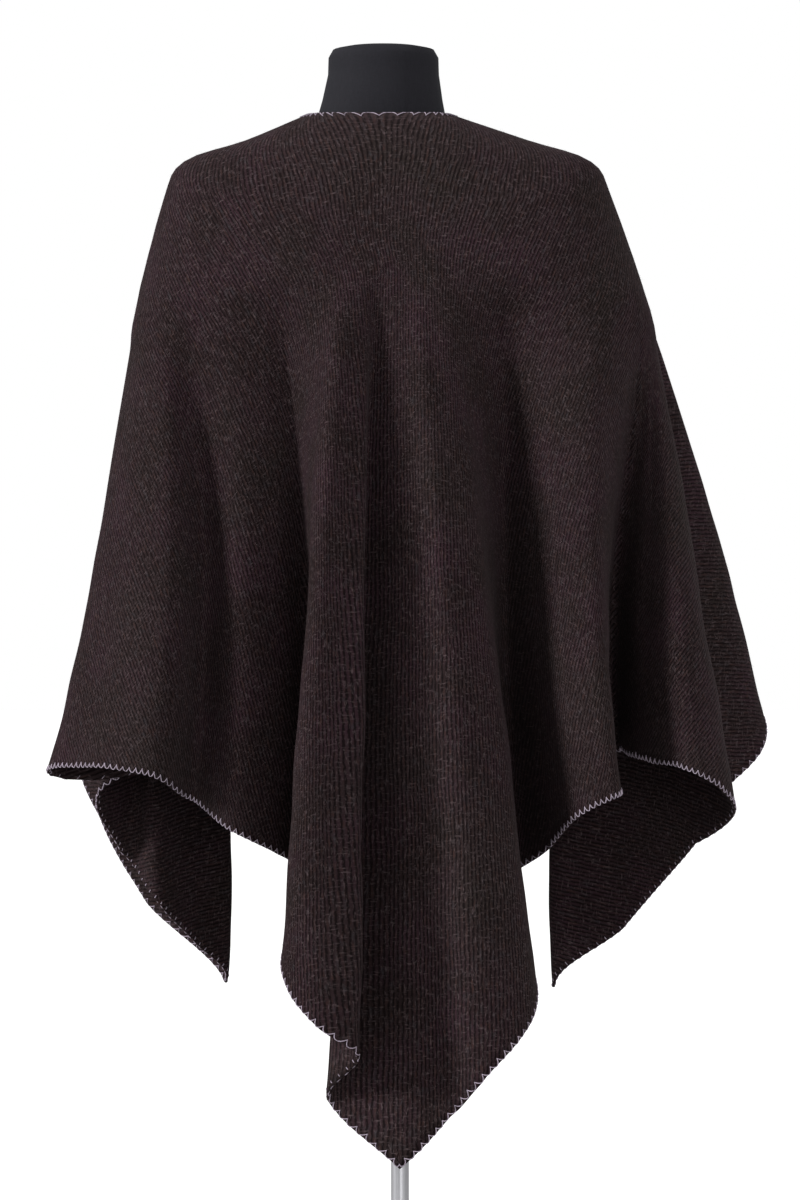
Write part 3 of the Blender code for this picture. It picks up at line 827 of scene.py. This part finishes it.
def hair_material(settings):
    """Single wool fibres, some pale and some as dark as the cloth."""
    material, tree, shader = new_material("Wool fibres")
    cut = tree.add("ShaderNodeUVMap", uv_map="cut").outputs[0]
    tone = tree.spread(cut, 900.0, 2.0)
    dark = rgba(settings.colour, 0.22)
    colour = tree.mix(tree.mask(tone, 0.42, 0.62), dark, rgba(settings.colour))
    tree.join(colour, shader, "Base Color")
    set_values(shader, {"Roughness": 0.7, "Specular IOR Level": 0.1})
    return material


def yarn_material(settings):
    """Pale grey lilac yarn, twisted from two plies."""
    material, tree, shader = new_material("Pale stitching yarn")
    place = tree.add("ShaderNodeTexCoord").outputs["Object"]
    ply = tree.add("ShaderNodeTexWave", {"Vector": place, "Scale": 420.0, "Distortion": 3.0},
                   wave_type="BANDS", bands_direction="DIAGONAL").outputs["Fac"]
    fibres = use_group(tree, fibre_group(), place, per_metre=1500.0)
    tone = tree.mix(ply, rgba(settings.colour, 0.62), rgba(settings.colour))
    worn = tree.spread(place, 60.0, 2.0)
    tone = tree.mix(tree.mask(worn, 0.50, 0.70, 0.7), tone, rgba(settings.colour, 0.4))
    tree.join(tone, shader, "Base Color")
    set_values(shader, {"Roughness": 0.9, "Specular IOR Level": 0.1})
    height = tree.math("ADD", ply, fibres["Height"])
    tree.relief(shader, height, strength=0.5, distance=0.0004)
    return material


def jersey_material(settings):
    """Matt knitted cover with fine upright wales and a little lint."""
    material, tree, shader = new_material("Black jersey cover")
    place = tree.add("ShaderNodeTexCoord").outputs["Object"]
    wales = tree.spread(tree.scaled(place, (1.0, 1.0, 0.12)), 900.0, 2.0, 0.6)
    rows = tree.spread(tree.scaled(place, (0.2, 0.2, 1.0)), 1000.0, 2.0, 0.6)
    knit = tree.math("ADD", tree.math("MULTIPLY", wales, 0.6), tree.math("MULTIPLY", rows, 0.4))
    tone = tree.mix(knit, rgba(settings.jersey, 0.55), rgba(settings.jersey, 1.5))
    lint = tree.spread(place, 260.0, 4.0, 0.75)
    tone = tree.mix(tree.mask(lint, 0.70, 0.80, 0.35), tone, (0.16, 0.16, 0.17, 1.0))
    tree.join(tone, shader, "Base Color")
    set_values(shader, {
        "Roughness": 0.82, "Specular IOR Level": 0.12, "Sheen Weight": 0.02,
        "Sheen Tint": (0.7, 0.72, 0.8, 1.0)})
    softened = tree.add("ShaderNodeBevel", {"Radius": 0.014}, samples=8).outputs[0]
    tree.relief(shader, knit, strength=0.35, distance=0.0006, Normal=softened)
    return material


def handling_group():
    """Rubbed and dusty places on hard finishes: a mask and a fine scratch height."""
    found = bpy.data.node_groups.get("Handling marks")
    if found is not None:
        return found
    tree, given, result = new_group(
        "Handling marks", "Scratches per metre", ("Rubbed", "Scratches"))
    rubbed = tree.mask(tree.spread(given["Place"], 14.0, 4.0, 0.65), 0.48, 0.72)
    scratches = tree.spread(tree.scaled(given["Place"], (1.0, 1.0, 0.02)),
                            given["Scratches per metre"], 3.0, 0.7)
    tree.join(rubbed, result, "Rubbed")
    tree.join(scratches, result, "Scratches")
    return tree.tree


def hard_material(name, colour, metallic, roughness, scratches):
    """Brushed steel or satin paint, with rubbed places that shine a little differently."""
    material, tree, shader = new_material(name)
    place = tree.add("ShaderNodeTexCoord").outputs["Object"]
    marks = use_group(tree, handling_group(), place, scratches)
    rubbed = tree.math("MULTIPLY", marks["Rubbed"], 0.5)
    tone = tree.mix(rubbed, rgba(colour), rgba(colour, 1.35))
    tree.join(tone, shader, "Base Color")
    rough = tree.math("ADD", tree.math("MULTIPLY", marks["Scratches"], 0.22), roughness - 0.1)
    rough = tree.math("ADD", rough, tree.math("MULTIPLY", marks["Rubbed"], 0.07))
    tree.join(rough, shader, "Roughness")
    shader.inputs["Metallic"].default_value = metallic
    tree.relief(shader, marks["Scratches"], strength=0.12, distance=0.0002)
    return material


def refinish(node, material):
    """Gives a solid of the frame a finished material in place of its plain one."""
    solid = frame["nodes"][node]
    solid.data.materials.clear()
    solid.data.materials.append(material)


def far_lamp(name, place, spread, strength):
    """A far lamp that lights floor and cloth evenly; a wide spread makes its shadows soft."""
    clear_old(bpy.data.objects, name)
    data = bpy.data.lights.new(name, "SUN")
    data.angle = spread
    data.energy = strength
    lamp = bpy.data.objects.new(name, data)
    lamp.location = place
    lamp.rotation_euler = (Vector(LIT_PLACE) - lamp.location).to_track_quat("-Z", "Y").to_euler()
    bpy.context.scene.collection.objects.link(lamp)


def size(name, description, default):
    """A setting that is a length."""
    return FloatProperty(name=name, description=description, default=default, unit="LENGTH")


def amount(name, description, default):
    """A setting that is a plain number."""
    return FloatProperty(name=name, description=description, default=default)


def tint(name, description, default):
    """A setting that is a colour."""
    return FloatVectorProperty(name=name, description=description, default=default, size=3,
                               subtype="COLOR")


class ClothSettings(PropertyGroup):
    """Cut, fineness and colours of the cloth."""
    spacing: FloatProperty(
        name="Column spacing", description="Distance along the hem between columns of faces",
        default=0.011, min=0.005, unit="LENGTH")
    yoke_steps: IntProperty(
        name="Yoke steps", description="Rows of faces between two rings on the shoulders",
        default=4, min=1)
    hang_steps: IntProperty(
        name="Hanging steps", description="Rows of faces down the hanging cloth", default=60, min=8)
    crease: size("Crease depth", "How far shallow creases move the cloth", 0.0030)
    twill: size("Twill line spacing", "Distance between two twill lines", 0.0040)
    fibres: amount("Fibres per metre", "How close loose fibres lie on the face", 520.0)
    fibre_share: FloatProperty(
        name="Fibre share", description="How strongly pale fibre ends show", default=0.34,
        subtype="FACTOR")
    ground: tint("Ground", "Dark brown of most yarns", (0.0142, 0.0086, 0.0090))
    plum: tint("Plum", "Yarns with a little purple", (0.0230, 0.0118, 0.0155))
    olive: tint("Olive", "Yarns with a little green grey", (0.0160, 0.0132, 0.0112))
    rust: tint("Rust", "Warm brown yarns", (0.0290, 0.0155, 0.0140))
    slate: tint("Slate", "Cool grey yarns", (0.0250, 0.0220, 0.0245))
    pale: tint("Pale fibres", "Fibre ends that stand off the face", (0.130, 0.096, 0.100))


class StitchSettings(PropertyGroup):
    """Yarn and spacing of the sewn edges."""
    pitch: size("Pitch", "Distance between stitches", 0.0100)
    neck_pitch: size("Neck pitch", "Distance between stitches of the neck edge in the cut", 0.0068)
    bite: size("Bite", "How deep each stitch reaches into the cloth", 0.0043)
    yarn: size("Yarn thickness", "Width of the yarn", 0.0010)
    scallop: size("Slack", "How far the edge yarn hangs out between stitches", 0.0003)
    colour: tint("Yarn colour", "Pale grey lilac of the yarn", (0.380, 0.320, 0.385))


class HairSettings(PropertyGroup):
    """Loose fibres of the brushed wool."""
    count: IntProperty(
        name="Fibres", description="How many fibres stand off the cloth", default=60000, min=0)
    length: size("Fibre length", "Middle length of a fibre", 0.0052)
    width: size("Fibre width", "Width of a fibre at its root", 0.00016)
    inner_share: FloatProperty(
        name="Inner share", description="Share of the fibres on the inner face", default=0.25,
        subtype="FACTOR")
    colour: tint("Fibre colour", "Colour of the palest fibres", (0.110, 0.086, 0.088))


class StandSettings(PropertyGroup):
    """Finishes of the form and the stand."""
    jersey: tint("Jersey", "Cover of the dress form", (0.0100, 0.0097, 0.0125))
    steel: tint("Steel", "Pole, socket and hub", (0.46, 0.46, 0.48))
    paint: tint("Paint", "Base plate", (0.022, 0.022, 0.024))


class StageSettings(PropertyGroup):
    """Floor, lamps and camera."""
    floor: tint("Floor colour", "Pale studio floor", (0.96, 0.96, 0.96))
    floor_width: size("Floor width", "Side of the square floor", 60.0)
    key: amount("Key lamp", "Strength of the lamp on the left", 4.2)
    top: amount("Top lamp", "Strength of the soft lamp overhead", 1.2)
    fill: amount("Fill lamp", "Strength of the soft lamp in front", 1.65)
    room: amount("Room light", "Strength of the light from all round", 0.42)
    camera_distance: size("Camera distance", "From the pole to the camera", 4.0)
    camera_height: size("Camera height", "Height of the camera over the floor", 0.945)
    lens: amount("Lens", "Focal length in millimetres", 120.0)


class PONCHO_OT_cloth(Operator):
    bl_idname = "poncho.cloth"
    bl_label = "Drape the cloth"

    def execute(self, context):
        settings = context.scene.poncho_cloth
        rows, cut = cloth_rows(settings.spacing, settings.yoke_steps, settings.hang_steps)
        rows = soft_creases(rows, cut, settings.crease)
        offset = row_normals(rows) * CLOTH_THICKNESS / 2
        points = np.concatenate([rows + offset, rows - offset]).reshape(-1, 3)
        row_count, count = rows.shape[:2]
        inner = row_count * count
        outside = layer_faces(row_count, count)
        inside = [tuple(corner + inner for corner in reversed(face)) for face in outside]
        neck_edge = [face[::-1] for face in grid_faces(0, inner, count)]
        hem_edge = grid_faces(inner - count, 2 * inner - count, count)
        cloth = new_piece("poncho_wool", points, outside + inside + neck_edge + hem_edge,
                          wool_material(settings))
        eased = eased_map(rows, cut)
        map_to_cut(cloth, np.concatenate([eased, eased]).reshape(-1, 2))
        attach(cloth, "root")
        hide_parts("poncho_cloth")
        DRAPE["cut"] = FlatCut(rows, cut)
        return {"FINISHED"}


class PONCHO_OT_edges(Operator):
    """Sew the blanket stitched hem and neck edge"""
    bl_idname = "poncho.edges"
    bl_label = "Sew the edges"

    def execute(self, context):
        settings = context.scene.poncho_stitches
        yarn = yarn_material(settings)
        edges = (("hem_stitches", hem_stations(settings.pitch)),
                 ("neck_stitches", neck_stations(settings.neck_pitch)))
        for name, stations in edges:
            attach(sew_edge(name, stations, settings, DRAPE["cut"], yarn), "root")
        return {"FINISHED"}


class PONCHO_OT_hairs(Operator):
    bl_idname = "poncho.hairs"
    bl_label = "Raise the fibres"

    def execute(self, context):
        hairs = raise_hairs(context.scene.poncho_hairs, DRAPE["cut"])
        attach(hairs, "root")
        return {"FINISHED"}


class PONCHO_OT_form(Operator):
    """Cover the dress form in black jersey"""
    bl_idname = "poncho.form"
    bl_label = "Cover the form"

    def execute(self, context):
        refinish("dress_form", jersey_material(context.scene.poncho_stand))
        return {"FINISHED"}


class PONCHO_OT_stand(Operator):
    """Finish the pole, its fittings and the base plate"""
    bl_idname = "poncho.stand"
    bl_label = "Finish the stand"

    def execute(self, context):
        settings = context.scene.poncho_stand
        steel = hard_material(
            "Satin steel", settings.steel, metallic=1.0, roughness=0.36, scratches=900.0)
        for node in ("stand_pole", "form_socket", "base_hub"):
            refinish(node, steel)
        paint = hard_material(
            "Satin black paint", settings.paint, metallic=0.0, roughness=0.48, scratches=240.0)
        refinish("base_plate", paint)
        return {"FINISHED"}


class PONCHO_OT_stage(Operator):
    """Set up the pale floor, the soft lamps and the camera"""
    bl_idname = "poncho.stage"
    bl_label = "Set up the studio"

    def execute(self, context):
        settings = context.scene.poncho_stage
        half = settings.floor_width / 2
        points = [(-half, -half, 0.0), (half, -half, 0.0), (half, half, 0.0), (-half, half, 0.0)]
        faces = [(0, 1, 2, 3)]
        material, tree, shader = new_material("Pale studio floor")
        place = tree.add("ShaderNodeTexCoord").outputs["Object"]
        tone = tree.mix(tree.spread(place, 3.0), rgba(settings.floor, 0.98), rgba(settings.floor))
        seen = tree.add("ShaderNodeLightPath").outputs["Is Camera Ray"]
        tone = tree.mix(seen, rgba(settings.floor, 0.45), tone)
        tree.join(tone, shader, "Base Color")
        shader.inputs["Roughness"].default_value = 0.9
        floor = new_piece("studio_floor", points, faces, material)
        for name, place, spread in LAMPS:
            far_lamp(f"{name}_lamp", place, math.radians(spread), getattr(settings, name))
        context.scene.view_settings.view_transform = "Standard"
        world = bpy.data.worlds.new("Studio room")
        world.use_nodes = True
        shades = ShaderTree(world.node_tree)
        room = world.node_tree.nodes["Background"]
        room.inputs["Color"].default_value = (1.0, 1.0, 1.0, 1.0)
        seen = shades.add("ShaderNodeLightPath").outputs["Is Camera Ray"]
        shades.join(shades.math("MAXIMUM", seen, settings.room), room, "Strength")
        context.scene.world = world
        camera_data = bpy.data.cameras.new("photo_camera")
        camera_data.lens = settings.lens
        camera_data.sensor_width = 36.0
        camera = bpy.data.objects.new("photo_camera", camera_data)
        camera.location = (0.0, -settings.camera_distance, settings.camera_height)
        camera.rotation_euler = (math.pi / 2, 0.0, 0.0)
        context.scene.collection.objects.link(camera)
        context.scene.camera = camera
        return {"FINISHED"}


class PONCHO_PT_sidebar(Panel):
    """Lists every step of the poncho, the form and the studio"""
    bl_idname = "PONCHO_PT_sidebar"
    bl_label = "Poncho"
    bl_space_type = "VIEW_3D"
    bl_region_type = "UI"
    bl_category = "Poncho"

    def draw(self, context):
        for name, group, operators in STEPS:
            box = self.layout.box()
            for setting in group.__annotations__:
                box.prop(getattr(context.scene, name), setting)
            for operator in operators:
                box.operator(operator.bl_idname)


DRAPE = {}
STEPS = (
    ("poncho_cloth", ClothSettings, (PONCHO_OT_cloth,)),
    ("poncho_stitches", StitchSettings, (PONCHO_OT_edges,)),
    ("poncho_hairs", HairSettings, (PONCHO_OT_hairs,)),
    ("poncho_stand", StandSettings, (PONCHO_OT_form, PONCHO_OT_stand)),
    ("poncho_stage", StageSettings, (PONCHO_OT_stage,)),
)
CLASSES = (
    *(group for _, group, _ in STEPS), *(step for *_, steps in STEPS for step in steps),
    PONCHO_PT_sidebar,
)


def register():
    """Registers every class and hangs the settings on the scene."""
    for entry in CLASSES:
        bpy.utils.register_class(entry)
    for name, group, _ in STEPS:
        setattr(bpy.types.Scene, name, PointerProperty(type=group))


def unregister():
    """Removes the settings and every class."""
    for name, *_ in STEPS:
        delattr(bpy.types.Scene, name)
    for entry in reversed(CLASSES):
        bpy.utils.unregister_class(entry)


def main():
    """Builds everything in order."""
    register()
    bpy.ops.poncho.cloth()
    bpy.ops.poncho.edges()
    bpy.ops.poncho.hairs()
    bpy.ops.poncho.form()
    bpy.ops.poncho.stand()
    bpy.ops.poncho.stage()


if __name__ == "__main__":
    main()
